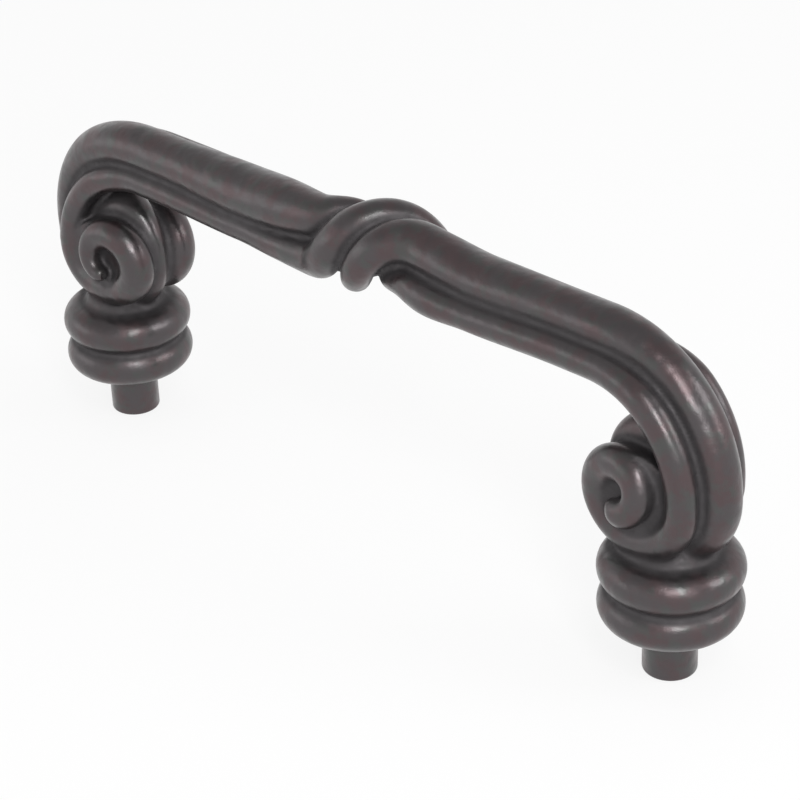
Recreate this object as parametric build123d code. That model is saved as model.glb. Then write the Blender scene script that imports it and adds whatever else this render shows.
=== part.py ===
from build123d import *
from math import atan2, cos, hypot, pi, radians, sin, tan
import os

# Cabinet handle: one casting of three strands that twist over each other in a loose knot,
# turn down at both ends and curl into a scroll above a foot of two beads and a plain post.
# Frame: +X along the bar, +Z away from the drawer front, origin midway between the end
# faces of the two posts. All lengths are in millimetres and all angles in degrees.

# Fixing to the drawer front
hole_spacing = 96.0
thread_drill_radius = 1.65
thread_depth = 13.0
drill_point_angle = 118.0
countersink = 0.5

# Foot: a post, two beads and a neck, turned about the screw's axis
post_radius = 3.3
post_chamfer = 0.4
post_length = 6.85
bead_section = 2.6
lower_bead_radius = 8.65
upper_bead_radius = 8.7
bead_pitch = 4.9
neck_radius = 4.6
neck_flare_radius = 5.6
neck_flare_height = 2.0
neck_flare_sink = 0.15

# Run of the bundle: from its scroll up the leg, round the elbow and along the bar. The
# pattern was modelled by hand, so its two ends differ a little.
scroll_seat = 8.45
scroll_inset = 0.6
left_leg_offset = 5.7
right_leg_offset = 4.45
left_leg_length = 0.65
right_leg_length = 0.5
elbow_radius = 14.3

# Section of the bundle along the bar: a large strand outside and a smaller one at each side
top_strand_radius = 3.24
top_strand_rise = 1.4
side_strand_radius = 2.13
side_strand_fall = 1.14
side_strand_spread = 2.91
left_bundle_lean = 27.0
right_bundle_lean = -1.0

# Section of the bundle down the legs
left_leg_top_radius = 3.23
right_leg_top_radius = 2.94
left_leg_top_rise = 2.11
right_leg_top_rise = 1.83
leg_side_radius = 2.07
left_leg_side_fall = 0.37
right_leg_side_fall = -0.2
left_leg_side_spread = 3.42
right_leg_side_spread = 3.96

# Swelling of the bundle towards the knot
swell_start = 34.0
left_top_swell = 0.49
right_top_swell = 0.35
left_side_sink = 0.44
right_side_sink = 0.32
side_strand_widen = 0.16

# Knot: distance from the bundle's axis and radius of each strand at the five inner
# stations, from left to right. The over strand crosses the top, the rising one passes below
# it and reaches the top at the right, and the falling one leaves the top at the left.
knot_half_length = 20.0
twist_half_length = 9.0
twist_middle = 1.5
over_twist_middle = 2.0
over_distance = [3.77, 3.73, 3.45, 4.23, 4.09]
over_radius = [2.16, 2.48, 2.76, 2.75, 2.4]
rising_distance = [3.2, 1.77, 3.88, 3.27, 1.99]
rising_radius = [2.1, 1.85, 1.98, 2.82, 3.32]
falling_distance = [1.52, 2.19, 2.72, 2.15, 3.43]
falling_radius = [3.49, 2.79, 2.11, 2.0, 2.25]

# Scroll: distance from the scroll's axis and radius of each strand a quarter turn apart,
# after the first value that the leg gives. The side strands close on an eye of their own,
# and move out from the middle as they do.
middle_distance = [6.6, 5.9, 6.2, 5.2]
middle_radius = [2.7, 2.6, 2.7, 2.5]
left_eye_inset = 2.5
right_eye_inset = 2.7
left_eye_rise = 0.8
right_eye_rise = -1.1
left_side_distance = [5.4, 4.5, 3.1, 2.1, 2.0]
right_side_distance = [5.2, 4.0, 4.0, 2.1, 2.05]
left_side_radius = [2.35, 2.45, 2.1, 1.6, 1.4]
right_side_radius = [2.35, 2.45, 2.3, 1.6, 1.45]
side_offset = [3.4, 3.6, 4.6, 5.8, 6.1]
core_radius = 5.6
core_half_width = 4.6
core_inset = 1.0
core_drop = 0.5

# Round sections that a strand is lofted through: how far apart they are along the bundle,
# in the order in which the spacings are tried, and how many make a quarter turn of a scroll
section_spacings = [1.5, 1.6, 1.7, 1.8]
steps_per_quarter = 5

# Heights and places that follow
lower_bead_height = post_length + bead_section
upper_bead_height = lower_bead_height + bead_pitch
foot_top = upper_bead_height + bead_section
scroll_height = foot_top + scroll_seat
foot_x = hole_spacing / 2
scroll_x = foot_x - scroll_inset
elbow_length = elbow_radius * pi / 2
left_leg_x = foot_x + left_leg_offset
right_leg_x = foot_x + right_leg_offset
left_bar_length = left_leg_x - elbow_radius
right_bar_length = right_leg_x - elbow_radius
left_run = left_bar_length + elbow_length + left_leg_length
right_run = right_bar_length + elbow_length + right_leg_length


def smooth(share):
    """Ease from 0 to 1 with no slope at either end."""
    share = min(max(share, 0.0), 1.0)
    return share * share * (3 - 2 * share)


def through(values, place):
    """Smooth curve through equally spaced values, level at both ends."""
    last = len(values) - 1
    index = min(int(place), last - 1)
    part = place - index
    before = values[index - 1] if index > 0 else values[1]
    after = values[index + 2] if index < last - 1 else values[last - 1]
    start, end = values[index], values[index + 1]
    slope_in, slope_out = (end - before) / 2, (after - start) / 2
    return (
        start
        + part * slope_in
        + part ** 2 * (3 * (end - start) - 2 * slope_in - slope_out)
        + part ** 3 * (2 * (start - end) + slope_in + slope_out)
    )


def mix(start, end, share):
    """Value so far on from start to end."""
    return start + (end - start) * share


def of_end(side, left, right):
    """Left end's value for a negative side, otherwise the right end's."""
    return left if side < 0 else right


def spine(run):
    """Bundle's axis at a distance along it from the bar's middle: x, z and the turn down."""
    side = -1 if run < 0 else 1
    along = abs(run)
    bar_length = of_end(side, left_bar_length, right_bar_length)
    leg_length = left_leg_length
    leg_length += (right_leg_length - left_leg_length) * smooth(
        (side * min(along, bar_length) + left_bar_length) / (left_bar_length + right_bar_length)
    )
    bar_height = scroll_height + leg_length + elbow_radius
    if along <= bar_length:
        return run, bar_height, 0.0
    turn = min((along - bar_length) / elbow_radius, pi / 2)
    x = bar_length + elbow_radius * sin(turn)
    below = max(along - bar_length - elbow_length, 0.0)
    return side * x, bar_height - elbow_radius * (1 - cos(turn)) - below, turn


def twist(run):
    """Share of the twist from -1 to 1 at a distance from its middle."""
    return sin(pi / 2 * min(max(run / twist_half_length, -1.0), 1.0))


def section(run, side):
    """The bundle's own section: the top strand's distance and radius, then a side strand's
    distance, angle from the top and radius."""
    bar_length = of_end(side, left_bar_length, right_bar_length)
    swell = smooth((swell_start - abs(run)) / (swell_start - knot_half_length))
    leg = smooth((abs(run) - bar_length) / (elbow_length / 2))
    top_swell = swell * of_end(side, left_top_swell, right_top_swell)
    sink = swell * of_end(side, left_side_sink, right_side_sink)
    top_radius = mix(top_strand_radius, of_end(side, left_leg_top_radius, right_leg_top_radius), leg)
    rise = mix(top_strand_rise, of_end(side, left_leg_top_rise, right_leg_top_rise), leg)
    fall = mix(side_strand_fall, of_end(side, left_leg_side_fall, right_leg_side_fall), leg) + sink
    spread = mix(side_strand_spread, of_end(side, left_leg_side_spread, right_leg_side_spread), leg)
    spread += side_strand_widen * swell
    flank = hypot(spread, fall), mix(side_strand_radius, leg_side_radius, leg)
    return (rise - top_swell, top_radius + top_swell), flank, pi / 2 + atan2(fall, spread)


def bundle_station(kind, run):
    """Centre and radius of a strand at a distance along the bundle.

    kind is over for the strand that crosses the top, and rising or falling for the strand
    that passes below and reaches the top at the right or leaves it at the left.
    """
    side = -1 if run < 0 else 1
    top, flank, flank_angle = section(run, side)
    left_top, left_flank, _ = section(knot_half_length, -1)
    right_top, right_flank, _ = section(knot_half_length, 1)
    if kind == "over":
        left_angle, right_angle, left_end, right_end = -flank_angle, flank_angle, left_flank, right_flank
        distances, radii, outer = over_distance, over_radius, flank
    elif kind == "rising":
        left_angle, right_angle, left_end, right_end = flank_angle, 2 * pi, left_flank, right_top
        distances, radii, outer = rising_distance, rising_radius, of_end(side, flank, top)
    else:
        left_angle, right_angle, left_end, right_end = 0.0, 2 * pi - flank_angle, left_top, right_flank
        distances, radii, outer = falling_distance, falling_radius, of_end(side, top, flank)
    if abs(run) < knot_half_length:
        place = (run / knot_half_length + 1) * (len(distances) + 1) / 2
        distance = through([left_end[0]] + distances + [right_end[0]], place)
        radius = through([left_end[1]] + radii + [right_end[1]], place)
    else:
        distance, radius = outer
    middle = over_twist_middle if kind == "over" else twist_middle
    x, z, turn = spine(run)
    angle = left_angle + (right_angle - left_angle) * (1 + twist(run - middle)) / 2
    angle += radians(of_end(side, left_bundle_lean, right_bundle_lean)) * twist(run) * cos(turn)
    outward = distance * cos(angle)
    centre = Vector(x + side * outward * sin(turn), distance * sin(angle), z + outward * cos(turn))
    return centre, radius


def scroll_station(side, flank, quarter):
    """Centre and radius of a strand in a scroll, so many quarter turns on from the leg.

    flank is 0 for the middle strand, -1 for the front one and 1 for the rear one.
    """
    leg_x = of_end(side, left_leg_x, right_leg_x)
    if flank == 0:
        axis_x, axis_z = scroll_x, scroll_height
        leg_rise = of_end(side, left_leg_top_rise, right_leg_top_rise)
        distances = [leg_x + leg_rise - axis_x] + middle_distance
        radii = [of_end(side, left_leg_top_radius, right_leg_top_radius)] + middle_radius
        offset = 0.0
    else:
        axis_x = scroll_x - of_end(side, left_eye_inset, right_eye_inset)
        axis_z = scroll_height + of_end(side, left_eye_rise, right_eye_rise) * smooth(quarter)
        leg_fall = of_end(side, left_leg_side_fall, right_leg_side_fall)
        leg_spread = of_end(side, left_leg_side_spread, right_leg_side_spread)
        distances = [leg_x - leg_fall - axis_x] + of_end(side, left_side_distance, right_side_distance)
        radii = [leg_side_radius] + of_end(side, left_side_radius, right_side_radius)
        offset = flank * through([leg_spread] + side_offset, quarter)
    distance = through(distances, quarter)
    turn = quarter * pi / 2
    centre = Vector(side * (axis_x + distance * cos(turn)), offset, axis_z - distance * sin(turn))
    return centre, through(radii, quarter)


def strand(kind, left_flank, right_flank, spacing):
    """Solids of one strand from the eye of the left scroll to the eye of the right one."""
    bends = [-left_run, -left_bar_length, right_bar_length, right_run]
    stations = []
    breaks = [0]
    for quarter in range(len(side_offset if left_flank else middle_distance), 0, -1):
        for step in range(steps_per_quarter):
            stations.append(scroll_station(-1, left_flank, quarter - step / steps_per_quarter))
        breaks.append(len(stations))
    for start, end in zip(bends, bends[1:]):
        count = round((end - start) / spacing)
        for step in range(count):
            stations.append(bundle_station(kind, start + (end - start) * step / count))
        breaks.append(len(stations))
    for quarter in range(len(side_offset if right_flank else middle_distance)):
        for step in range(steps_per_quarter):
            stations.append(scroll_station(1, right_flank, quarter + step / steps_per_quarter))
        breaks.append(len(stations))
    stations.append(scroll_station(1, right_flank, quarter + 1))
    centres = [centre for centre, radius in stations]
    circles = []
    for index, (centre, radius) in enumerate(stations):
        run = centres[min(index + 1, len(centres) - 1)] - centres[max(index - 1, 0)]
        circles.append(Wire.make_circle(radius, Plane(origin=centre, x_dir=(0, 1, 0), z_dir=run)))
    solids = [Solid.make_loft(circles[start:end + 1]) for start, end in zip(breaks, breaks[1:])]
    for centre, radius in (stations[0], stations[-1]):
        solids.append(Pos(*centre) * Solid.make_sphere(radius))
    return solids


def foot(side):
    """Post, two beads and neck as one turned solid on the screw's axis."""
    lower_ring = lower_bead_radius - bead_section
    upper_ring = upper_bead_radius - bead_section
    post = Cylinder(post_radius, foot_top, align=(Align.CENTER, Align.CENTER, Align.MIN))
    post = chamfer(post.edges().sort_by(Axis.Z)[0], post_chamfer)
    solids = [post]
    for height, ring in ((lower_bead_height, lower_ring), (upper_bead_height, upper_ring)):
        solids.append(Pos(0, 0, height) * Torus(ring, bead_section))
        solids.append(Pos(0, 0, height) * Cylinder(ring, 2 * bead_section))
    neck_height = scroll_height - upper_bead_height
    neck = Cylinder(neck_radius, neck_height, align=(Align.CENTER, Align.CENTER, Align.MIN))
    flare = Cone(
        neck_flare_radius,
        neck_radius,
        neck_flare_height,
        align=(Align.CENTER, Align.CENTER, Align.MIN),
    )
    solids.append(Pos(0, 0, upper_bead_height) * neck)
    solids.append(Pos(0, 0, foot_top - neck_flare_sink) * flare)
    turned = solids[0]
    for solid in solids[1:]:
        turned += solid
    return Pos(side * foot_x, 0, 0) * turned


def scroll_core(side):
    """Solid metal inside a scroll."""
    core = Cylinder(core_radius, 2 * core_half_width, rotation=(90, 0, 0))
    return Pos(side * (scroll_x - core_inset), 0, scroll_height - core_drop) * core


def screw_hole(side):
    """Blind hole for the fixing screw's thread, with a drill point and a countersink."""
    bore = Cylinder(thread_drill_radius, thread_depth, align=(Align.CENTER, Align.CENTER, Align.MIN))
    point_length = thread_drill_radius / tan(radians(drill_point_angle / 2))
    point = Cone(thread_drill_radius, 0, point_length, align=(Align.CENTER, Align.CENTER, Align.MIN))
    mouth = Cone(
        thread_drill_radius + countersink,
        thread_drill_radius,
        countersink,
        align=(Align.CENTER, Align.CENTER, Align.MIN),
    )
    return Pos(side * foot_x, 0, 0) * (bore + Pos(0, 0, thread_depth) * point + mouth)


def casting(spacing):
    """Strands, cores and feet joined, with both screw holes cut."""
    pieces = strand("over", -1, 1, spacing)
    pieces += strand("rising", 1, 0, spacing)
    pieces += strand("falling", 0, -1, spacing)
    for side in (-1, 1):
        pieces += [scroll_core(side), foot(side)]
    body = pieces[0].fuse(*pieces[1:])
    for side in (-1, 1):
        body -= screw_hole(side)
    return body


def is_sound(body):
    """True for one valid solid with a single skin."""
    return body.is_valid and len(body.solids()) == 1 and len(body.shells()) == 1


# The lofts join cleanly at most spacings but not at every one, so the first that gives a
# sound solid is kept
for spacing in section_spacings:
    try:
        handle = casting(spacing)
    except Exception:
        continue
    if is_sound(handle):
        break
else:
    raise ValueError("the strands don't join into one solid at any spacing of their sections")

os.makedirs("parts", exist_ok=True)
export_step(handle, "parts/handle.step")
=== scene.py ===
"""Cabinet handle: the casting's finished surface, its bronze finish and a plain stage.

The sizes are in millimetres in the code that works out shapes, and in metres in Blender.
"""

import math

import bpy
import numpy as np
from mathutils import Matrix, Vector


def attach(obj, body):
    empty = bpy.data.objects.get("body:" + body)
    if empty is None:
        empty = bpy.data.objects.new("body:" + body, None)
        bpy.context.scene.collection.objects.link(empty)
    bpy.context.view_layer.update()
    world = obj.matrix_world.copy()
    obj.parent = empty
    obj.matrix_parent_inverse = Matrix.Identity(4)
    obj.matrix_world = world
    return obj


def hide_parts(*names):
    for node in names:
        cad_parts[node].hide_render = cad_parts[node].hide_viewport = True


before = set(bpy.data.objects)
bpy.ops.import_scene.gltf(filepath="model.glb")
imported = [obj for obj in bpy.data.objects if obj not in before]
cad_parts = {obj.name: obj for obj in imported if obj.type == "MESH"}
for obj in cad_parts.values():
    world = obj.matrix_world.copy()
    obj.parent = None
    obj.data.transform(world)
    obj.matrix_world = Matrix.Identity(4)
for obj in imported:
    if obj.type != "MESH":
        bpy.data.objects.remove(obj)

bl_info = {
    "name": "Twisted Cabinet Handle",
    "version": (1, 0, 0),
    "blender": (4, 5, 0),
    "location": "3D View > Sidebar > Handle",
    "description": "Builds a cabinet handle of three twisted strands, its finish and a plain stage",
    "category": "Object",
}

MM = 0.001
TINY = 1e-9

# Fixing and foot, in millimetres
HOLE_SPACING = 96.0
POST_RADIUS = 3.3
POST_CHAMFER = 0.4
POST_LENGTH = 6.85
POST_INSIDE_TOP = 15.5
POST_FILLET = 0.45
BEAD_SECTION = 2.6
LOWER_BEAD_RADIUS = 8.65
UPPER_BEAD_RADIUS = 8.7
BEAD_PITCH = 4.9
NECK_RADIUS = 4.6
FLARE_RADIUS = 5.6
FLARE_HEIGHT = 2.0
FLARE_SINK = 0.15
BORE_RADIUS = 2.6
BORE_TOP = 14.5

# Screw thread. The land and the flank are shares of half a pitch. The end is the plain length
# at the bottom, and the thread fades out over the run-out before it. The mouth and the end
# face's rim are so much wider than the root.
THREAD_CREST = 1.65
THREAD_ROOT = 2.0
THREAD_PITCH = 0.7
THREAD_DEPTH = 13.0
THREAD_LAND = 0.12
THREAD_FLANK = 0.76
THREAD_END = 1.2
THREAD_RUN_OUT = 0.8
THREAD_MOUTH = 0.2
THREAD_RIM = 0.25
DRILL_POINT = 1.0

# Run of the bundle. A pair is the left end's value and the right end's.
SCROLL_SEAT = 8.45
SCROLL_INSET = 0.6
LEG_OFFSET = (5.7, 4.45)
LEG_LENGTH = (0.65, 0.5)
ELBOW_RADIUS = 14.3

# Section of the bundle along the bar
TOP_RADIUS = 3.24
TOP_RISE = 1.4
SIDE_RADIUS = 2.13
SIDE_FALL = 1.14
SIDE_SPREAD = 2.91
BUNDLE_LEAN = (27.0, -1.0)

# Section of the bundle down the legs
LEG_TOP_RADIUS = (3.23, 2.94)
LEG_TOP_RISE = (2.11, 1.83)
LEG_SIDE_RADIUS = 2.07
LEG_SIDE_FALL = (0.37, -0.2)
LEG_SIDE_SPREAD = (3.42, 3.96)

# Swelling of the bundle towards the knot
SWELL_START = 34.0
TOP_SWELL = (0.49, 0.35)
SIDE_SINK = (0.44, 0.32)
SIDE_WIDEN = 0.16

# Knot: the values at its five inner stations, from left to right
KNOT_HALF_LENGTH = 20.0
TWIST_HALF_LENGTH = 9.0
TWIST_MIDDLE = 1.5
OVER_TWIST_MIDDLE = 2.0
OVER_DISTANCE = [3.77, 3.73, 3.45, 4.23, 4.09]
OVER_RADIUS = [2.16, 2.48, 2.76, 2.75, 2.4]
RISING_DISTANCE = [3.2, 1.77, 3.88, 3.27, 1.99]
RISING_RADIUS = [2.1, 1.85, 1.98, 2.82, 3.32]
FALLING_DISTANCE = [1.52, 2.19, 2.72, 2.15, 3.43]
FALLING_RADIUS = [3.49, 2.79, 2.11, 2.0, 2.25]

# Scroll: the values a quarter turn apart
MIDDLE_DISTANCE = [6.6, 5.9, 6.2, 5.2]
MIDDLE_RADIUS = [2.7, 2.6, 2.7, 2.5]
EYE_INSET = (2.5, 1.9)
EYE_RISE = (0.8, -0.6)
SIDE_DISTANCE = ([5.4, 4.5, 3.2, 2.5, 2.5, 2.5], [5.8, 5.1, 3.6, 1.8, 1.5, 1.6])
SIDE_COIL_RADIUS = ([2.35, 2.45, 2.1, 1.45, 1.0, 0.5], [2.35, 2.2, 2.2, 1.85, 1.75, 0.45])
SIDE_OFFSET = [3.4, 3.6, 4.6, 5.8, 6.1, 6.1]
SIDE_QUARTERS = (4.9, 5.5)
CORE_RADIUS = 5.6
CORE_HALF_WIDTH = 4.6
CORE_INSET = 1.0
CORE_DROP = 0.5

# Heights and places that follow
LOWER_BEAD_HEIGHT = POST_LENGTH + BEAD_SECTION
UPPER_BEAD_HEIGHT = LOWER_BEAD_HEIGHT + BEAD_PITCH
BEADS = ((LOWER_BEAD_HEIGHT, LOWER_BEAD_RADIUS), (UPPER_BEAD_HEIGHT, UPPER_BEAD_RADIUS))
FOOT_TOP = UPPER_BEAD_HEIGHT + BEAD_SECTION
SCROLL_HEIGHT = FOOT_TOP + SCROLL_SEAT
FOOT_X = HOLE_SPACING / 2
SCROLL_X = FOOT_X - SCROLL_INSET
ELBOW_LENGTH = ELBOW_RADIUS * math.pi / 2
LEG_X = tuple(FOOT_X + offset for offset in LEG_OFFSET)
BAR_LENGTH = tuple(leg - ELBOW_RADIUS for leg in LEG_X)
RUN_LENGTH = tuple(bar + ELBOW_LENGTH + leg for bar, leg in zip(BAR_LENGTH, LEG_LENGTH))

# How finely a strand's path is worked out and followed, how far along it another turn
# begins, how far to each side of a point its stations are looked at, and the distance to what
# isn't there
SCROLL_SAMPLES = 240
BUNDLE_SAMPLES = 1201
PATH_STEP = 0.5
OTHER_TURN = 6.0
STRAND_REACH = 9.0
LEAST_BEND = 1e-6
FAR = 1000.0

# How much deeper the grooves between strands are cut, how nearly equal the distances to both
# strands are there, and how far from the strands and from the cores the cut comes and goes
GROOVE_DEPTH = 0.42
GROOVE_WIDTH = 1.2
GROOVE_REACH = 0.8
CORE_REACH = 2.0

# Rings, sides and steps of the surfaces, and the radius that closes one on its axis
ON_AXIS = 0.01
TUBE_SIDES = 28
CAP_RINGS = 8
TURNED_SIDES = 64
BEAD_STEPS = 25
POST_SIDES = 60
FILLET_STEPS = 9
CHAMFER_STEPS = 7
THREAD_RINGS = 130

# How the rough skin is moved onto the casting's surface
POINTS_AT_ONCE = 6000
ROUNDS = 4
EVENING = 0.5
MOVES_IN_ROUND = 2
LONGEST_MOVE = 0.3

# How far out the surface is felt for metal, near and wide, how much each counts as hollow,
# and how much of both doesn't yet count
HOLLOW_REACH = (0.8, 2.4)
HOLLOW_NEAR = 1.3
HOLLOW_WIDE = 0.9
HOLLOW_START = 0.1

# Finish and stage, with places and sizes in metres but the camera's sensor in millimetres
METAL_SHARE = 0.85
WAX_ROUGHNESS = 0.28
FLOOR_HALF = 3.0
FLOOR_ROUGHNESS = 0.9
AIM_HEIGHT = 20 * MM
AIM_RIGHT = 3.388 * MM
AIM_DOWN = 1.382 * MM
SENSOR_WIDTH = 36.0


def smooth(share):
    """Ease from 0 to 1 with no slope at either end: 3 s^2 - 2 s^3."""
    share = np.clip(share, 0.0, 1.0)
    return share * share * (3 - 2 * share)


def through(values, place):
    """Smooth curve through equally spaced values, level at both ends.

    A cubic runs between each two values, and its slope at a value is half the step from
    the value before to the value after.
    """
    values = np.asarray(values, float)
    padded = np.concatenate([values[1:2], values, values[-2:-1]])
    index = np.clip(place.astype(int), 0, len(values) - 2)
    part = place - index
    before, start, end, after = (padded[index + shift] for shift in range(4))
    slope_in, slope_out = (end - before) / 2, (after - start) / 2
    return (
        start
        + part * slope_in
        + part ** 2 * (3 * (end - start) - 2 * slope_in - slope_out)
        + part ** 3 * (2 * (start - end) + slope_in + slope_out)
    )


def of_end(side, pair):
    """Left value of a pair where the side is negative, and the right value elsewhere."""
    return np.where(side < 0, pair[0], pair[1])


def mix(start, end, share):
    """Value so far on from start to end."""
    return start + (end - start) * share


def spine(run):
    """Bundle's axis: a level bar, a quarter arc at each end, and an upright leg.

    Gives x, z and the turn down at distances along it from the bar's middle. The bar's
    height eases from the left leg's to the right leg's.
    """
    along, bar = np.abs(run), of_end(run, BAR_LENGTH)
    turn = np.clip((along - bar) / ELBOW_RADIUS, 0.0, math.pi / 2)
    below = np.maximum(along - bar - ELBOW_LENGTH, 0.0)
    share = smooth((np.clip(run, -BAR_LENGTH[0], BAR_LENGTH[1]) + BAR_LENGTH[0]) / sum(BAR_LENGTH))
    x = np.minimum(along, bar) + ELBOW_RADIUS * np.sin(turn)
    z = SCROLL_HEIGHT + mix(*LEG_LENGTH, share) + ELBOW_RADIUS * np.cos(turn) - below
    return np.where(run < 0, -x, x), z, turn


def twist(run):
    """Share of the twist from -1 to 1: a quarter sine wave to each side of its middle."""
    return np.sin(math.pi / 2 * np.clip(run / TWIST_HALF_LENGTH, -1.0, 1.0))


def section(run):
    """The bundle's own section along its run.

    Gives the top strand's distance and radius, a side strand's distance and radius, and the
    side strand's angle from the top. The values ease from the bar's to the leg's in the
    first half of the elbow, and swell towards the knot.
    """
    swell = smooth((SWELL_START - np.abs(run)) / (SWELL_START - KNOT_HALF_LENGTH))
    leg = smooth((np.abs(run) - of_end(run, BAR_LENGTH)) / (ELBOW_LENGTH / 2))
    top_swell = swell * of_end(run, TOP_SWELL)
    top_radius = mix(TOP_RADIUS, of_end(run, LEG_TOP_RADIUS), leg) + top_swell
    rise = mix(TOP_RISE, of_end(run, LEG_TOP_RISE), leg) - top_swell
    fall = mix(SIDE_FALL, of_end(run, LEG_SIDE_FALL), leg) + swell * of_end(run, SIDE_SINK)
    spread = mix(SIDE_SPREAD, of_end(run, LEG_SIDE_SPREAD), leg) + swell * SIDE_WIDEN
    side = np.hypot(spread, fall), mix(SIDE_RADIUS, LEG_SIDE_RADIUS, leg)
    return (rise, top_radius), side, math.pi / 2 + np.arctan2(fall, spread)


def bundle_stations(kind, run):
    """Centres and radii of a strand along the bundle.

    The strand stands off the bundle's axis by a distance, at an angle that turns with the
    twist: y is the distance times the angle's sine, and the cosine part points outwards.
    """
    top, flank, flank_angle = section(run)
    if kind == "over":
        left_angle, right_angle, left_end, right_end = -flank_angle, flank_angle, flank, flank
        distances, radii = OVER_DISTANCE, OVER_RADIUS
    elif kind == "rising":
        left_angle, right_angle, left_end, right_end = flank_angle, 2 * math.pi, flank, top
        distances, radii = RISING_DISTANCE, RISING_RADIUS
    else:
        left_angle, right_angle, left_end, right_end = 0.0, 2 * math.pi - flank_angle, top, flank
        distances, radii = FALLING_DISTANCE, FALLING_RADIUS
    place = np.clip((run / KNOT_HALF_LENGTH + 1) * (len(distances) + 1) / 2, 0, len(distances) + 1)
    ends = np.argmin(np.abs(run + KNOT_HALF_LENGTH)), np.argmin(np.abs(run - KNOT_HALF_LENGTH))
    outside = [np.where(run < 0, left, right) for left, right in zip(left_end, right_end)]
    inside = [
        through([left_end[item][ends[0]]] + values + [right_end[item][ends[1]]], place)
        for item, values in enumerate((distances, radii))
    ]
    knot = np.abs(run) < KNOT_HALF_LENGTH
    distance, radius = (np.where(knot, near, far) for near, far in zip(inside, outside))
    middle = OVER_TWIST_MIDDLE if kind == "over" else TWIST_MIDDLE
    x, z, turn = spine(run)
    angle = left_angle + (right_angle - left_angle) * (1 + twist(run - middle)) / 2
    angle = angle + np.radians(of_end(run, BUNDLE_LEAN)) * twist(run) * np.cos(turn)
    outward = distance * np.cos(angle)
    side = np.where(run < 0, -1.0, 1.0)
    centres = np.stack(
        [x + side * outward * np.sin(turn), distance * np.sin(angle), z + outward * np.cos(turn)], 1
    )
    return centres, radius


def scroll_stations(side, flank, quarter):
    """Centres and radii of a strand in a scroll, so many quarter turns on from the leg.

    The centre goes round the scroll's axis at a distance that closes in, and the side
    strands move out along the axis as they do.
    """
    end = 0 if side < 0 else 1
    if flank == 0:
        axis_x, axis_z = SCROLL_X, SCROLL_HEIGHT
        distances = [LEG_X[end] + LEG_TOP_RISE[end] - axis_x] + MIDDLE_DISTANCE
        radii = [LEG_TOP_RADIUS[end]] + MIDDLE_RADIUS
        offset = np.zeros_like(quarter)
    else:
        axis_x, axis_z = SCROLL_X - EYE_INSET[end], SCROLL_HEIGHT + EYE_RISE[end] * smooth(quarter)
        distances = [LEG_X[end] - LEG_SIDE_FALL[end] - axis_x] + SIDE_DISTANCE[end]
        radii = [LEG_SIDE_RADIUS] + SIDE_COIL_RADIUS[end]
        offset = flank * through([LEG_SIDE_SPREAD[end]] + SIDE_OFFSET, quarter)
    distance = through(distances, quarter)
    turn = quarter * math.pi / 2
    centres = np.stack(
        [side * (axis_x + distance * np.cos(turn)), offset, axis_z - distance * np.sin(turn)], 1
    )
    return centres, through(radii, quarter)


def strand_path(kind, left_flank, right_flank):
    """Centres and radii of one strand, evenly spaced from the left scroll's eye to the right's."""
    left_end, right_end = (
        quarters if flank else len(MIDDLE_DISTANCE)
        for flank, quarters in zip((left_flank, right_flank), SIDE_QUARTERS)
    )
    left = np.linspace(left_end, 0, SCROLL_SAMPLES)[:-1]
    right = np.linspace(0, right_end, SCROLL_SAMPLES)[1:]
    parts = [
        scroll_stations(-1, left_flank, left),
        bundle_stations(kind, np.linspace(-RUN_LENGTH[0], RUN_LENGTH[1], BUNDLE_SAMPLES)),
        scroll_stations(1, right_flank, right),
    ]
    centres = np.concatenate([part[0] for part in parts])
    radii = np.concatenate([part[1] for part in parts])
    length = np.concatenate([[0], np.cumsum(np.linalg.norm(np.diff(centres, axis=0), axis=1))])
    even = np.linspace(0, length[-1], int(length[-1] / PATH_STEP) + 1)
    centres = np.stack([np.interp(even, length, centres[:, axis]) for axis in range(3)], 1)
    return centres, np.interp(even, length, radii)


def nearest_on_strand(points, path):
    """Stations of a strand nearest to each point, and nearest on another turn of it.

    Gives two pairs of a station's number and whether there is one. Only the stations about
    as far to the right as the points are looked at.
    """
    centres, radii = path
    low, high = points[:, 0].min() - STRAND_REACH, points[:, 0].max() + STRAND_REACH
    near = np.flatnonzero((centres[:, 0] > low) & (centres[:, 0] < high))
    spots, seen = centres[near].astype(np.float32), points.astype(np.float32)
    squares = (seen ** 2).sum(1)[:, None] - 2 * seen @ spots.T + (spots ** 2).sum(1)[None]
    reach = np.sqrt(np.maximum(squares, 0)) - radii[near].astype(np.float32)[None]
    first = reach.argmin(1)
    reach[np.abs(near[None] - near[first][:, None]) < OTHER_TURN / PATH_STEP] = FAR
    second = reach.argmin(1)
    always = np.full(len(points), True)
    return (near[first], always), (near[second], reach[np.arange(len(points)), second] < FAR)


def ball_distance(points, path, nearest, found):
    """Distance to a strand's surface near a station, and its slope.

    Each station is a ball. The distance to the ball is least somewhere between three
    stations, at the lowest point of the parabola through them, and the ball is taken there.
    """
    centres, radii = path
    middle = np.clip(nearest, 1, len(radii) - 2)
    low, mid, high = (
        np.linalg.norm(points - centres[middle + shift], axis=1) - radii[middle + shift]
        for shift in (-1, 0, 1)
    )
    bend = low - 2 * mid + high
    part = np.where(bend > LEAST_BEND, 0.5 * (low - high) / np.maximum(bend, LEAST_BEND), 0)
    part = np.clip(part, -1, 1)
    weights = part * (part - 1) / 2, 1 - part * part, part * (part + 1) / 2
    centre = sum(w[:, None] * centres[middle + shift] for w, shift in zip(weights, (-1, 0, 1)))
    radius = sum(w * radii[middle + shift] for w, shift in zip(weights, (-1, 0, 1)))
    away = points - centre
    size = np.maximum(np.linalg.norm(away, axis=1), TINY)
    return np.where(found, size - radius, FAR), away / size[:, None]


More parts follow.
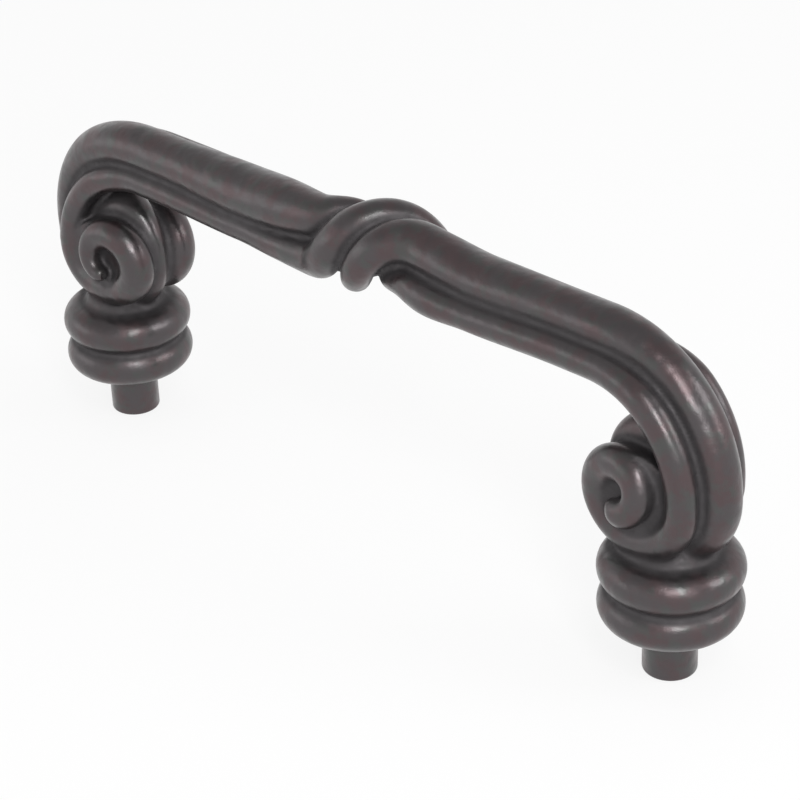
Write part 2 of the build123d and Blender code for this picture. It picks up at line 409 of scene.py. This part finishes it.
def foot_distances(points):
    """Distances to the beads, the neck, its flare and the scroll's core, with their slopes.

    A bead is all that is within its section of a flat disc. The neck and the core are
    cylinders, upright and along y, and the flare is a cone.
    """
    side = np.where(points[:, 0] >= 0, 1.0, -1.0)
    local = points - np.stack([side * FOOT_X, 0 * side, 0 * side], 1)
    across = np.hypot(local[:, 0], local[:, 1])
    out_x, out_y = (local[:, axis] / np.maximum(across, TINY) for axis in range(2))
    found = []
    for height, radius in BEADS:
        beyond = np.maximum(across - (radius - BEAD_SECTION), 0)
        rise = local[:, 2] - height
        size = np.maximum(np.hypot(beyond, rise), TINY)
        slope = np.stack([out_x * beyond / size, out_y * beyond / size, rise / size], 1)
        found.append((size - BEAD_SECTION, slope))
    middle, half = (UPPER_BEAD_HEIGHT + SCROLL_HEIGHT) / 2, (SCROLL_HEIGHT - UPPER_BEAD_HEIGHT) / 2
    upright = np.stack([out_x, out_y, 0 * out_x], 1)
    found.append(cylinder_distance(across - NECK_RADIUS, upright, local[:, 2] - middle, half, (0, 0, 1)))
    lean = math.atan2(FLARE_RADIUS - NECK_RADIUS, FLARE_HEIGHT)
    above = local[:, 2] - (FOOT_TOP - FLARE_SINK)
    beyond = (across - FLARE_RADIUS + above * math.tan(lean)) * math.cos(lean)
    leaning = np.stack([out_x * math.cos(lean), out_y * math.cos(lean), 0 * out_x + math.sin(lean)], 1)
    half = FLARE_HEIGHT / 2
    found.append(cylinder_distance(beyond, leaning, above - half, half, (0, 0, 1)))
    core = points - np.stack(
        [side * (SCROLL_X - CORE_INSET), 0 * side, 0 * side + SCROLL_HEIGHT - CORE_DROP], 1
    )
    around = np.maximum(np.hypot(core[:, 0], core[:, 2]), TINY)
    outward = np.stack([core[:, 0] / around, 0 * around, core[:, 2] / around], 1)
    beyond = around - CORE_RADIUS
    found.append(cylinder_distance(beyond, outward, core[:, 1], CORE_HALF_WIDTH, (0, 1, 0)))
    return found


def cylinder_distance(beyond, outward, along, half, axis):
    """Distance to a cylinder from how far a point is beyond its wall and along its axis."""
    past = np.abs(along) - half
    ends = np.sign(along)[:, None] * np.array(axis, float)[None]
    out, over = np.maximum(beyond, 0), np.maximum(past, 0)
    size = np.hypot(out, over)
    outside = size > TINY
    slope = np.where(
        outside[:, None],
        (out[:, None] * outward + over[:, None] * ends) / np.maximum(size, TINY)[:, None],
        np.where((beyond > past)[:, None], outward, ends),
    )
    return np.where(outside, size, np.maximum(beyond, past)), slope


def casting_field(points, paths, fillet):
    """Signed distance to the casting and its slope, negative in the metal.

    The strands, the beads, the necks and the cores are joined by a soft minimum: where two
    distances a and b differ by less than the fillet f, the smaller one drops by up to f/4.
    Where the two nearest turns of strand are equally near, the groove between them is cut
    deeper, by a bell curve over the difference of their distances that fades out away from
    the strands and near the cores, where the scrolls are filled smooth.
    """
    distances, slopes = [], []
    for path in paths:
        for nearest, found in nearest_on_strand(points, path):
            distance, slope = ball_distance(points, path, nearest, found)
            distances.append(distance)
            slopes.append(slope)
    for distance, slope in foot_distances(points):
        distances.append(distance)
        slopes.append(slope)
    closest = np.sort(np.stack(distances[:2 * len(paths)]), axis=0)
    carve = GROOVE_DEPTH * np.exp(-((closest[1] - closest[0]) / GROOVE_WIDTH) ** 2)
    carve = carve * (1 - smooth(closest[0] / GROOVE_REACH)) * smooth(distances[-1] / CORE_REACH)
    total, slope = distances[0], slopes[0]
    for other, other_slope in zip(distances[1:], slopes[1:]):
        share = np.clip(0.5 + 0.5 * (other - total) / fillet, 0, 1)
        total = other + (total - other) * share - fillet * share * (1 - share)
        slope = other_slope + (slope - other_slope) * share[:, None]
    total = total + carve
    side = np.where(points[:, 0] >= 0, FOOT_X, -FOOT_X)
    local_x = points[:, 0] - side
    across = np.maximum(np.hypot(local_x, points[:, 1]), TINY)
    wall, roof = BORE_RADIUS - across, BORE_TOP - points[:, 2]
    bore = np.minimum(wall, roof)
    bore_slope = np.where(
        (wall < roof)[:, None],
        np.stack([-local_x / across, -points[:, 1] / across, 0 * across], 1),
        np.array([0.0, 0.0, -1.0])[None],
    )
    inside = bore > total
    return np.where(inside, bore, total), np.where(inside[:, None], -bore_slope, slope)


def in_parts(points, paths, fillet):
    """The casting's field for many points, a part of them at a time from left to right."""
    order = np.argsort(points[:, 0])
    distance, slope = np.zeros(len(points)), np.zeros((len(points), 3))
    for start in range(0, len(points), POINTS_AT_ONCE):
        part = order[start:start + POINTS_AT_ONCE]
        distance[part], slope[part] = casting_field(points[part], paths, fillet)
    return distance, slope


def rings_surface(rings):
    """Closed surface through a stack of rings, an array of rings by points by three.

    The first and last rings are each closed on their own middle.
    """
    count, sides = rings.shape[:2]
    points = np.concatenate([rings.reshape(-1, 3), rings[:1].mean(1), rings[-1:].mean(1)])
    row, column = np.meshgrid(np.arange(count - 1), np.arange(sides), indexing="ij")
    here, following = row * sides + column, row * sides + (column + 1) % sides
    quads = np.stack([here, following, following + sides, here + sides], -1).reshape(-1, 4)
    edge = np.arange(sides)
    first = np.stack([np.full(sides, count * sides), np.roll(edge, -1), edge], 1)
    base = (count - 1) * sides
    last = np.stack([np.full(sides, count * sides + 1), base + edge, base + np.roll(edge, -1)], 1)
    return points, quads, np.concatenate([first, last])


def tube_surface(path):
    """Round profile carried along a path, with a half ball at each end.

    A ring's centre is the path's point, and it lies across the path's direction there.
    """
    centres, radii = path
    along = np.gradient(centres, axis=0)
    along /= np.linalg.norm(along, axis=1)[:, None]
    cap = np.linspace(math.pi / 2, 0, CAP_RINGS)[:-1]
    start = centres[0] - along[0] * (radii[0] * np.sin(cap))[:, None]
    end = centres[-1] + along[-1] * (radii[-1] * np.sin(cap[::-1]))[:, None]
    middle = np.concatenate([start, centres, end])
    size = np.concatenate([radii[0] * np.cos(cap), radii, radii[-1] * np.cos(cap[::-1])])
    first, last = (np.repeat(end, len(cap), 0) for end in (along[:1], along[-1:]))
    along = np.concatenate([first, along, last])
    across = np.array([0.0, 1.0, 0.0]) - along[:, 1:2] * along
    across /= np.linalg.norm(across, axis=1)[:, None]
    upward = np.cross(along, across)
    angle = np.linspace(0, 2 * math.pi, TUBE_SIDES, endpoint=False)[None, :, None]
    profile = np.cos(angle) * across[:, None] + np.sin(angle) * upward[:, None]
    return rings_surface(middle[:, None] + size[:, None, None] * profile)


def turned_surface(profile, x):
    """Profile of radius and height, turned about an upright axis at x, closed on the axis."""
    angle = np.linspace(0, 2 * math.pi, TURNED_SIDES, endpoint=False)
    radius, height = profile[:, 0][:, None], profile[:, 1][:, None]
    rings = np.stack([x + radius * np.cos(angle), radius * np.sin(angle), height + 0 * angle], -1)
    return rings_surface(rings)


def foot_profile():
    """Radius and height up a foot: its bore, its two beads and its neck."""
    turn = np.linspace(-math.pi / 2, math.pi / 2, BEAD_STEPS)
    rows = [(ON_AXIS, BORE_TOP), (BORE_RADIUS, BORE_TOP), (BORE_RADIUS, POST_LENGTH)]
    for height, radius in BEADS:
        for angle in turn:
            across = radius - BEAD_SECTION + BEAD_SECTION * math.cos(angle)
            rows.append((across, height + BEAD_SECTION * math.sin(angle)))
    flare = FOOT_TOP - FLARE_SINK
    rows += [(FLARE_RADIUS, flare), (NECK_RADIUS, flare + FLARE_HEIGHT)]
    rows += [(NECK_RADIUS, SCROLL_HEIGHT), (ON_AXIS, SCROLL_HEIGHT)]
    return np.array(rows)


def core_surface(side):
    """Round drum along y in the middle of a scroll."""
    y = np.array([-CORE_HALF_WIDTH, -CORE_HALF_WIDTH, CORE_HALF_WIDTH, CORE_HALF_WIDTH])
    radius = np.array([ON_AXIS, CORE_RADIUS, CORE_RADIUS, ON_AXIS])
    angle = np.linspace(0, 2 * math.pi, TURNED_SIDES, endpoint=False)
    x = side * (SCROLL_X - CORE_INSET) + radius[:, None] * np.cos(angle)[None]
    z = SCROLL_HEIGHT - CORE_DROP + radius[:, None] * np.sin(angle)[None]
    return rings_surface(np.stack([x, y[:, None] + 0 * x, z], -1)[:, ::-1])


def post_surface(side):
    """Post with its threaded hole, one closed turned surface.

    The profile runs from the axis inside the beads, down the outside, over the end face
    and up the hole to the drill's point. Up the hole the radius rises and falls with the
    height over the pitch less the angle over a full turn.
    """
    fillet, chamfer = (np.linspace(0, math.pi / 2, steps) for steps in (FILLET_STEPS, CHAMFER_STEPS))
    rounded = np.stack([
        POST_RADIUS + POST_FILLET * (1 - np.sin(fillet)),
        POST_LENGTH - POST_FILLET * (1 - np.cos(fillet)),
    ], 1)
    eased = np.stack([
        POST_RADIUS - POST_CHAMFER * (1 - np.cos(chamfer)),
        POST_CHAMFER * (1 - np.sin(chamfer)),
    ], 1)
    top = [(ON_AXIS, POST_INSIDE_TOP), (POST_RADIUS, POST_INSIDE_TOP)]
    outer = np.concatenate([top, rounded, eased, [(THREAD_ROOT + THREAD_RIM, 0.0)]])
    height = np.linspace(0.0, THREAD_DEPTH, THREAD_RINGS)
    tip = np.array([
        (THREAD_CREST / 2, THREAD_DEPTH + DRILL_POINT / 2), (ON_AXIS, THREAD_DEPTH + DRILL_POINT)
    ])
    angle = np.linspace(0, 2 * math.pi, POST_SIDES, endpoint=False)
    wave = height[:, None] / THREAD_PITCH - angle[None] / (2 * math.pi)
    wave = np.abs((wave % 1.0) * 2 - 1)
    cut = smooth((wave - THREAD_LAND) / THREAD_FLANK)
    fade = smooth((THREAD_DEPTH - THREAD_END - height) / THREAD_RUN_OUT)[:, None]
    hole = THREAD_CREST + (THREAD_ROOT - THREAD_CREST) * cut * fade
    mouth = THREAD_ROOT + THREAD_MOUTH - height[:, None]
    hole = np.maximum(hole, mouth)
    radius = np.concatenate([outer[:, :1] + 0 * angle, hole, tip[:, :1] + 0 * angle])
    level = np.concatenate([outer[:, 1], height, tip[:, 1]])[:, None] + 0 * angle
    rings = np.stack([side * FOOT_X + radius * np.cos(angle), radius * np.sin(angle), level], -1)
    return rings_surface(rings[:, ::-1])


def joined(surfaces):
    """Points, quads and triangles of several surfaces as one."""
    points, quads, triangles, count = [], [], [], 0
    for own_points, own_quads, own_triangles in surfaces:
        points.append(own_points)
        quads.append(own_quads + count)
        triangles.append(own_triangles + count)
        count += len(own_points)
    return np.concatenate(points), np.concatenate(quads), np.concatenate(triangles)


def make_mesh(name, points, quads, triangles):
    """Blender mesh of the given points and faces, smooth all over."""
    mesh = bpy.data.meshes.new(name)
    mesh.vertices.add(len(points))
    mesh.vertices.foreach_set("co", np.ascontiguousarray(points, np.float32).ravel())
    corners = np.concatenate([quads.ravel(), triangles.ravel()]).astype(np.int32)
    mesh.loops.add(len(corners))
    mesh.loops.foreach_set("vertex_index", corners)
    sizes = np.concatenate([np.full(len(quads), 4), np.full(len(triangles), 3)])
    mesh.polygons.add(len(sizes))
    starts = np.concatenate([[0], np.cumsum(sizes)[:-1]])
    mesh.polygons.foreach_set("loop_start", starts.astype(np.int32))
    mesh.polygons.foreach_set("use_smooth", np.ones(len(sizes), bool))
    mesh.update(calc_edges=True)
    mesh.validate()
    return mesh


def remeshed(surfaces, step):
    """One even skin round overlapping closed surfaces, from a voxel remesh in millimetres."""
    shape = bpy.data.objects.new("rough_casting", make_mesh("rough_casting", *joined(surfaces)))
    bpy.context.scene.collection.objects.link(shape)
    remesh = shape.modifiers.new("skin", "REMESH")
    remesh.mode = "VOXEL"
    remesh.voxel_size = step
    bpy.context.view_layer.update()
    made = shape.evaluated_get(bpy.context.evaluated_depsgraph_get())
    skin = bpy.data.meshes.new_from_object(made)
    points = np.zeros(len(skin.vertices) * 3, np.float32)
    skin.vertices.foreach_get("co", points)
    corners = np.zeros(len(skin.loops), np.int32)
    skin.loops.foreach_get("vertex_index", corners)
    sizes = np.zeros(len(skin.polygons), np.int32)
    skin.polygons.foreach_get("loop_total", sizes)
    rough = shape.data
    bpy.data.objects.remove(shape)
    bpy.data.meshes.remove(rough)
    bpy.data.meshes.remove(skin)
    starts = np.concatenate([[0], np.cumsum(sizes)[:-1]])
    triangles, quads = (
        corners[starts[sizes == count][:, None] + np.arange(count)[None]] for count in (3, 4)
    )
    return points.reshape(-1, 3).astype(float), quads, triangles


def settled(points, quads, triangles, paths, fillet):
    """Points moved onto the casting's surface, evened out between rounds, and its slope there.

    A round moves each point half way to the mean of its neighbours, and then twice by the
    field's distance against its slope.
    """
    edges = np.concatenate(
        [quads[:, [0, 1]], quads[:, [1, 2]], quads[:, [2, 3]], quads[:, [3, 0]],
         triangles[:, [0, 1]], triangles[:, [1, 2]], triangles[:, [2, 0]]]
    )
    ends = np.concatenate([edges[:, 0], edges[:, 1]])
    others = np.concatenate([edges[:, 1], edges[:, 0]])
    degree = np.maximum(np.bincount(ends, minlength=len(points)), 1)
    for turn in range(ROUNDS):
        if turn:
            mean = np.stack(
                [np.bincount(ends, points[others, axis], len(points)) / degree for axis in range(3)], 1
            )
            points = points + EVENING * (mean - points)
        for _ in range(MOVES_IN_ROUND):
            distance, slope = in_parts(points, paths, fillet)
            points = points - np.clip(distance, -LONGEST_MOVE, LONGEST_MOVE)[:, None] * slope
    return points, slope


def noise(nodes, links, coordinates, scale, detail, roughness=0.5):
    """Noise texture on the object's own coordinates, in waves per metre."""
    texture = nodes.new("ShaderNodeTexNoise")
    texture.inputs["Scale"].default_value = scale
    texture.inputs["Detail"].default_value = detail
    texture.inputs["Roughness"].default_value = roughness
    links.new(coordinates.outputs["Object"], texture.inputs["Vector"])
    return texture.outputs["Fac"]


def between(nodes, links, value, low, high, to_low, to_high):
    """Value eased from one range to another."""
    fit = nodes.new("ShaderNodeMapRange")
    fit.interpolation_type = "SMOOTHSTEP"
    fit.inputs["From Min"].default_value = low
    fit.inputs["From Max"].default_value = high
    fit.inputs["To Min"].default_value = to_low
    fit.inputs["To Max"].default_value = to_high
    links.new(value, fit.inputs["Value"])
    return fit.outputs["Result"]


def blended(nodes, links, share, first, second):
    """Colour that goes from the first to the second as the share goes from 0 to 1."""
    blend = nodes.new("ShaderNodeMix")
    blend.data_type = "RGBA"
    colours = [socket for socket in blend.inputs if socket.type == "RGBA"]
    for socket, colour in zip(colours, (first, second)):
        if isinstance(colour, bpy.types.NodeSocket):
            links.new(colour, socket)
        else:
            socket.default_value = (*colour, 1)
    links.new(share, blend.inputs["Factor"])
    return next(socket for socket in blend.outputs if socket.type == "RGBA")


def bronze_material(finish):
    """Dark oiled bronze: waxed and mottled metal, dull where it is sunk, grained by the casting."""
    material = bpy.data.materials.new("oiled_bronze")
    material.use_nodes = True
    nodes, links = material.node_tree.nodes, material.node_tree.links
    shader = nodes["Principled BSDF"]
    shader.inputs["Metallic"].default_value = METAL_SHARE
    shader.inputs["Coat Roughness"].default_value = WAX_ROUGHNESS
    coordinates = nodes.new("ShaderNodeTexCoord")
    hollow = nodes.new("ShaderNodeAttribute")
    hollow.attribute_name = "hollow"
    cloud = noise(nodes, links, coordinates, scale=300.0, detail=3.0)
    cloud = between(nodes, links, cloud, low=0.4, high=0.62, to_low=0.0, to_high=1.0)
    tarnish = noise(nodes, links, coordinates, scale=520.0, detail=4.0)
    tarnish = between(nodes, links, tarnish, low=0.48, high=0.66, to_low=0.0, to_high=0.7)
    colour = blended(nodes, links, cloud, finish.body_colour, finish.mottle_colour)
    colour = blended(nodes, links, tarnish, colour, finish.tarnish_colour)
    # Painted fill light: in the hollows the colour goes to a flat colour a little lighter than the
    # bronze, which lifts the shade there
    colour = blended(nodes, links, hollow.outputs["Fac"], colour, finish.groove_fill_light_colour)
    links.new(colour, shader.inputs["Base Color"])
    spread = finish.roughness_spread
    dull = noise(nodes, links, coordinates, scale=600.0, detail=3.0)
    dull = between(
        nodes, links, dull, low=0.35, high=0.65,
        to_low=finish.roughness - spread, to_high=finish.roughness + spread,
    )
    duller = nodes.new("ShaderNodeMath")
    duller.operation = "ADD"
    sunk = between(
        nodes, links, hollow.outputs["Fac"], low=0.0, high=1.0, to_low=0.0, to_high=finish.groove_dullness
    )
    links.new(dull, duller.inputs[0])
    links.new(sunk, duller.inputs[1])
    links.new(duller.outputs["Value"], shader.inputs["Roughness"])
    waxed = between(
        nodes, links, hollow.outputs["Fac"], low=0.0, high=1.0, to_low=finish.wax, to_high=0.0
    )
    links.new(waxed, shader.inputs["Coat Weight"])
    grain = noise(nodes, links, coordinates, scale=3500.0, detail=3.0, roughness=0.6)
    waves = noise(nodes, links, coordinates, scale=260.0, detail=2.0)
    normal = None
    for height, distance in ((waves, finish.unevenness), (grain, finish.grain)):
        bump = nodes.new("ShaderNodeBump")
        bump.inputs["Strength"].default_value = 1.0
        bump.inputs["Distance"].default_value = distance
        links.new(height, bump.inputs["Height"])
        if normal:
            links.new(normal, bump.inputs["Normal"])
        normal = bump.outputs["Normal"]
    links.new(normal, shader.inputs["Normal"])
    links.new(normal, shader.inputs["Coat Normal"])
    return material


class HandleCastingSettings(bpy.types.PropertyGroup):
    """Sizes of the casting's finished surface."""

    fillet: bpy.props.FloatProperty(
        name="Groove fillet",
        description="How widely the casting rounds the groove between two strands",
        default=0.9 * MM, min=0.05 * MM, max=2 * MM, unit="LENGTH", precision=5,
    )
    mesh_step: bpy.props.FloatProperty(
        name="Mesh step",
        description="Size of a face of the finished surface",
        default=0.37 * MM, min=0.2 * MM, max=2 * MM, unit="LENGTH", precision=5,
    )


class HandleFinishSettings(bpy.types.PropertyGroup):
    """Colours and gloss of the bronze."""

    body_colour: bpy.props.FloatVectorProperty(
        name="Bronze", description="Colour of the plain bronze",
        default=(0.079, 0.07, 0.073), min=0, max=1, size=3, subtype="COLOR",
    )
    mottle_colour: bpy.props.FloatVectorProperty(
        name="Mottle", description="Colour of the redder clouds in the bronze",
        default=(0.087, 0.062, 0.065), min=0, max=1, size=3, subtype="COLOR",
    )
    tarnish_colour: bpy.props.FloatVectorProperty(
        name="Tarnish", description="Colour of the greyer patches in the bronze",
        default=(0.073, 0.078, 0.075), min=0, max=1, size=3, subtype="COLOR",
    )
    # Painted fill light: a flat colour a little lighter than the bronze, put into the hollows to lift the
    # shade in them
    groove_fill_light_colour: bpy.props.FloatVectorProperty(
        name="Groove", description="Colour of the dull patina in the grooves",
        default=(0.078, 0.073, 0.076), min=0, max=1, size=3, subtype="COLOR",
    )
    roughness: bpy.props.FloatProperty(
        name="Roughness", description="Dullness of the bronze",
        default=0.34, min=0, max=1, subtype="FACTOR",
    )
    roughness_spread: bpy.props.FloatProperty(
        name="Roughness spread", description="How far the dullness goes up and down in patches",
        default=0.06, min=0, max=0.3, subtype="FACTOR",
    )
    groove_dullness: bpy.props.FloatProperty(
        name="Groove dullness", description="How much duller the bronze is in the grooves",
        default=0.3, min=0, max=0.6, subtype="FACTOR",
    )
    wax: bpy.props.FloatProperty(
        name="Wax", description="Share of the surface that is under a thin clear wax",
        default=0.3, min=0, max=1, subtype="FACTOR",
    )
    grain: bpy.props.FloatProperty(
        name="Grain", description="Height of the casting's fine grain",
        default=0.019 * MM, min=0, max=0.2 * MM, unit="LENGTH", precision=6,
    )
    unevenness: bpy.props.FloatProperty(
        name="Unevenness", description="Height of the casting's gentle waves",
        default=0.25 * MM, min=0, max=1 * MM, unit="LENGTH", precision=6,
    )


class HandleStageSettings(bpy.types.PropertyGroup):
    """Floor, lights and camera."""

    floor_colour: bpy.props.FloatVectorProperty(
        name="Floor", description="Colour of the floor and the backdrop",
        default=(0.8, 0.8, 0.8), min=0, max=1, size=3, subtype="COLOR",
    )
    floor_whiteness: bpy.props.FloatProperty(
        name="Floor whiteness", description="Share of plain white in the floor that the camera sees",
        default=0.84, min=0, max=1, subtype="FACTOR",
    )
    lens: bpy.props.FloatProperty(
        name="Lens", description="Focal length of the camera in millimetres",
        default=117.05, min=10, max=300,
    )
    azimuth: bpy.props.FloatProperty(
        name="Azimuth", description="How far the camera stands round to the right of the front",
        default=math.radians(45.284), unit="ROTATION",
    )
    elevation: bpy.props.FloatProperty(
        name="Elevation", description="How steeply the camera looks down",
        default=math.radians(29.678), unit="ROTATION",
    )
    roll: bpy.props.FloatProperty(
        name="Roll", description="How far the camera leans to its side",
        default=math.radians(-2.465), unit="ROTATION",
    )
    distance: bpy.props.FloatProperty(
        name="Distance", description="How far the camera stands from the point that it looks at",
        default=326.77 * MM, unit="LENGTH",
    )
    key_power: bpy.props.FloatProperty(
        name="Key light", description="Power of the main soft light in watts",
        default=1.15, min=0, max=100,
    )
    side_power: bpy.props.FloatProperty(
        name="Side light", description="Power of the soft light at the right in watts",
        default=0.55, min=0, max=100,
    )
    fill_power: bpy.props.FloatProperty(
        name="Fill light", description="Power of the weak soft light in watts",
        default=0.25, min=0, max=100,
    )
    ceiling_shade: bpy.props.FloatProperty(
        name="Ceiling", description="Strength of what the metal reflects from overhead",
        default=0.5, min=0, max=1, subtype="FACTOR",
    )
    sky_strength: bpy.props.FloatProperty(
        name="Surroundings", description="Strength of the pale surroundings",
        default=0.78, min=0, max=10,
    )


class OBJECT_OT_handle_casting(bpy.types.Operator):
    """Make the casting with its soft grooves, turned feet and threaded holes"""

    bl_idname = "object.handle_casting"
    bl_label = "Handle casting"

    def execute(self, context):
        sizes = context.scene.handle_casting
        fillet, step = sizes.fillet / MM, sizes.mesh_step / MM
        paths = [strand_path("over", -1, 1), strand_path("rising", 1, 0), strand_path("falling", 0, -1)]
        surfaces = [tube_surface(path) for path in paths]
        for side in (-1, 1):
            surfaces.append(turned_surface(foot_profile(), side * FOOT_X))
            surfaces.append(core_surface(side))
        points, quads, triangles = remeshed(surfaces, step)
        points, slope = settled(points, quads, triangles, paths, fillet)
        # How hollow each point is: the finish is duller and less waxed there, and a little painted fill
        # light goes into it
        near, wide = (
            1 - np.clip(in_parts(points + slope * reach, paths, fillet)[0] / reach, 0, 1)
            for reach in HOLLOW_REACH
        )
        hollow = np.clip(HOLLOW_NEAR * near + HOLLOW_WIDE * wide - HOLLOW_START, 0, 1)
        posts = [post_surface(side) for side in (-1, 1)]
        points, quads, triangles = joined([(points, quads, triangles)] + posts)
        casting = bpy.data.objects.new("casting", make_mesh("casting", points * MM, quads, triangles))
        context.scene.collection.objects.link(casting)
        shade = np.zeros(len(points), np.float32)
        shade[:len(hollow)] = hollow
        attribute = casting.data.attributes.new("hollow", "FLOAT", "POINT")
        attribute.data.foreach_set("value", shade)
        casting.data.materials.append(bronze_material(context.scene.handle_finish))
        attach(casting, "root")
        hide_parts("handle")
        return {"FINISHED"}


class OBJECT_OT_handle_stage(bpy.types.Operator):
    """Make the floor, the soft lights and the camera"""

    bl_idname = "object.handle_stage"
    bl_label = "Handle stage"

    def execute(self, context):
        look = context.scene.handle_stage
        scene = context.scene
        floor = bpy.data.objects.new("floor", bpy.data.meshes.new("floor"))
        corners = [(x * FLOOR_HALF, y * FLOOR_HALF, 0) for x, y in ((-1, -1), (1, -1), (1, 1), (-1, 1))]
        floor.data.from_pydata(corners, [], [(0, 1, 2, 3)])
        scene.collection.objects.link(floor)
        floor.data.materials.append(floor_material(look))
        make_world(look)
        make_lights(look)
        make_camera(look)
        scene.view_settings.view_transform = "Standard"
        return {"FINISHED"}


def seen_directly(nodes, links):
    """1 for what the camera, a reflection or a clear body shows, and 0 for what only lights."""
    rays = nodes.new("ShaderNodeLightPath")
    share = rays.outputs["Is Camera Ray"]
    for name in ("Is Glossy Ray", "Is Transmission Ray"):
        larger = nodes.new("ShaderNodeMath")
        larger.operation = "MAXIMUM"
        links.new(share, larger.inputs[0])
        links.new(rays.outputs[name], larger.inputs[1])
        share = larger.outputs["Value"]
    return share


def floor_material(look):
    """Matt pale floor that shows nearly white and keeps the shadow on it."""
    material = bpy.data.materials.new("pale_floor")
    material.use_nodes = True
    nodes, links = material.node_tree.nodes, material.node_tree.links
    shader = nodes["Principled BSDF"]
    shader.inputs["Base Color"].default_value = (*look.floor_colour, 1)
    shader.inputs["Roughness"].default_value = FLOOR_ROUGHNESS
    shader.inputs["Specular IOR Level"].default_value = 0.0
    white = nodes.new("ShaderNodeEmission")
    white.inputs["Color"].default_value = (1, 1, 1, 1)
    white.inputs["Strength"].default_value = 1.0
    share = nodes.new("ShaderNodeMath")
    share.operation = "MULTIPLY"
    share.inputs[1].default_value = look.floor_whiteness
    links.new(seen_directly(nodes, links), share.inputs[0])
    blend = nodes.new("ShaderNodeMixShader")
    links.new(share.outputs["Value"], blend.inputs["Fac"])
    links.new(shader.outputs["BSDF"], blend.inputs[1])
    links.new(white.outputs["Emission"], blend.inputs[2])
    links.new(blend.outputs["Shader"], nodes["Material Output"].inputs["Surface"])
    return material


def make_world(look):
    """Pale surroundings that show white at the level of the handle and greyer overhead."""
    world = bpy.data.worlds.new("surroundings")
    world.use_nodes = True
    bpy.context.scene.world = world
    nodes, links = world.node_tree.nodes, world.node_tree.links
    background = nodes["Background"]
    background.inputs["Color"].default_value = (1, 1, 1, 1)
    direction = nodes.new("ShaderNodeTexCoord")
    parts = nodes.new("ShaderNodeSeparateXYZ")
    links.new(direction.outputs["Generated"], parts.inputs["Vector"])
    shown = between(
        nodes, links, parts.outputs["Z"], low=0.15, high=0.9, to_low=1.0, to_high=look.ceiling_shade
    )
    strength = nodes.new("ShaderNodeMapRange")
    strength.inputs["To Min"].default_value = look.sky_strength
    links.new(shown, strength.inputs["To Max"])
    links.new(seen_directly(nodes, links), strength.inputs["Value"])
    links.new(strength.outputs["Result"], background.inputs["Strength"])


def make_lights(look):
    """Soft lamps: a tall one by the camera, one at the right side and a weak one at the left.

    A row is the lamp's name, its degrees round to the right of the front, its degrees up, its
    distance, width and height in metres, and its power.
    """
    lamps = (
        ("key", 56, 40, 0.5, 0.12, 0.26, look.key_power),
        ("side", 118, 32, 0.5, 0.2, 0.2, look.side_power),
        ("fill", -44, 14, 0.6, 0.45, 0.25, look.fill_power),
    )
    for name, around, above, distance, width, height, power in lamps:
        lamp = bpy.data.lights.new(name, "AREA")
        lamp.energy = power
        lamp.shape = "RECTANGLE"
        lamp.size = width
        lamp.size_y = height
        stand = bpy.data.objects.new(name, lamp)
        around, above = math.radians(around), math.radians(above)
        stand.location = distance * Vector((
            math.sin(around) * math.cos(above), -math.cos(around) * math.cos(above), math.sin(above)
        ))
        aim = Vector((0, 0, AIM_HEIGHT)) - stand.location
        stand.rotation_euler = aim.to_track_quat("-Z", "Y").to_euler()
        bpy.context.scene.collection.objects.link(stand)


def make_camera(look):
    """Camera at the view's angle, aimed a little beside the handle's middle."""
    azimuth, elevation, roll = look.azimuth, look.elevation, look.roll
    back = Vector((
        math.sin(azimuth) * math.cos(elevation),
        -math.cos(azimuth) * math.cos(elevation),
        math.sin(elevation),
    ))
    level = Vector((math.cos(azimuth), math.sin(azimuth), 0.0))
    upright = back.cross(level)
    right = math.cos(roll) * level + math.sin(roll) * upright
    up = math.cos(roll) * upright - math.sin(roll) * level
    target = Vector((0, 0, AIM_HEIGHT)) + AIM_RIGHT * right - AIM_DOWN * up
    camera = bpy.data.objects.new("camera", bpy.data.cameras.new("camera"))
    camera.data.lens = look.lens
    camera.data.sensor_width = SENSOR_WIDTH
    camera.data.clip_start = 0.01
    camera.data.clip_end = 20.0
    turn = Matrix((right, up, back)).transposed().to_4x4()
    camera.matrix_world = Matrix.Translation(target + look.distance * back) @ turn
    bpy.context.scene.collection.objects.link(camera)
    bpy.context.scene.camera = camera


class VIEW3D_PT_handle(bpy.types.Panel):
    """Sizes, finish and stage of the cabinet handle"""

    bl_idname = "VIEW3D_PT_handle"
    bl_label = "Cabinet handle"
    bl_space_type = "VIEW_3D"
    bl_region_type = "UI"
    bl_category = "Handle"

    def draw(self, context):
        scene = context.scene
        groups = (
            (scene.handle_casting, "object.handle_casting"),
            (scene.handle_finish, None),
            (scene.handle_stage, "object.handle_stage"),
        )
        for settings, operator in groups:
            column = self.layout.column(align=True)
            for name in settings.__annotations__:
                column.prop(settings, name)
            if operator:
                self.layout.operator(operator)


CLASSES = (
    HandleCastingSettings,
    HandleFinishSettings,
    HandleStageSettings,
    OBJECT_OT_handle_casting,
    OBJECT_OT_handle_stage,
    VIEW3D_PT_handle,
)


def register():
    """Add the classes and the scene's settings."""
    for item in CLASSES:
        bpy.utils.register_class(item)
    bpy.types.Scene.handle_casting = bpy.props.PointerProperty(type=HandleCastingSettings)
    bpy.types.Scene.handle_finish = bpy.props.PointerProperty(type=HandleFinishSettings)
    bpy.types.Scene.handle_stage = bpy.props.PointerProperty(type=HandleStageSettings)


def unregister():
    """Take the classes and the scene's settings away."""
    del bpy.types.Scene.handle_stage
    del bpy.types.Scene.handle_finish
    del bpy.types.Scene.handle_casting
    for item in reversed(CLASSES):
        bpy.utils.unregister_class(item)


def main():
    """Make every piece and the stage."""
    register()
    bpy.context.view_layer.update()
    bpy.ops.object.handle_casting()
    bpy.ops.object.handle_stage()


if __name__ == "__main__":
    main()
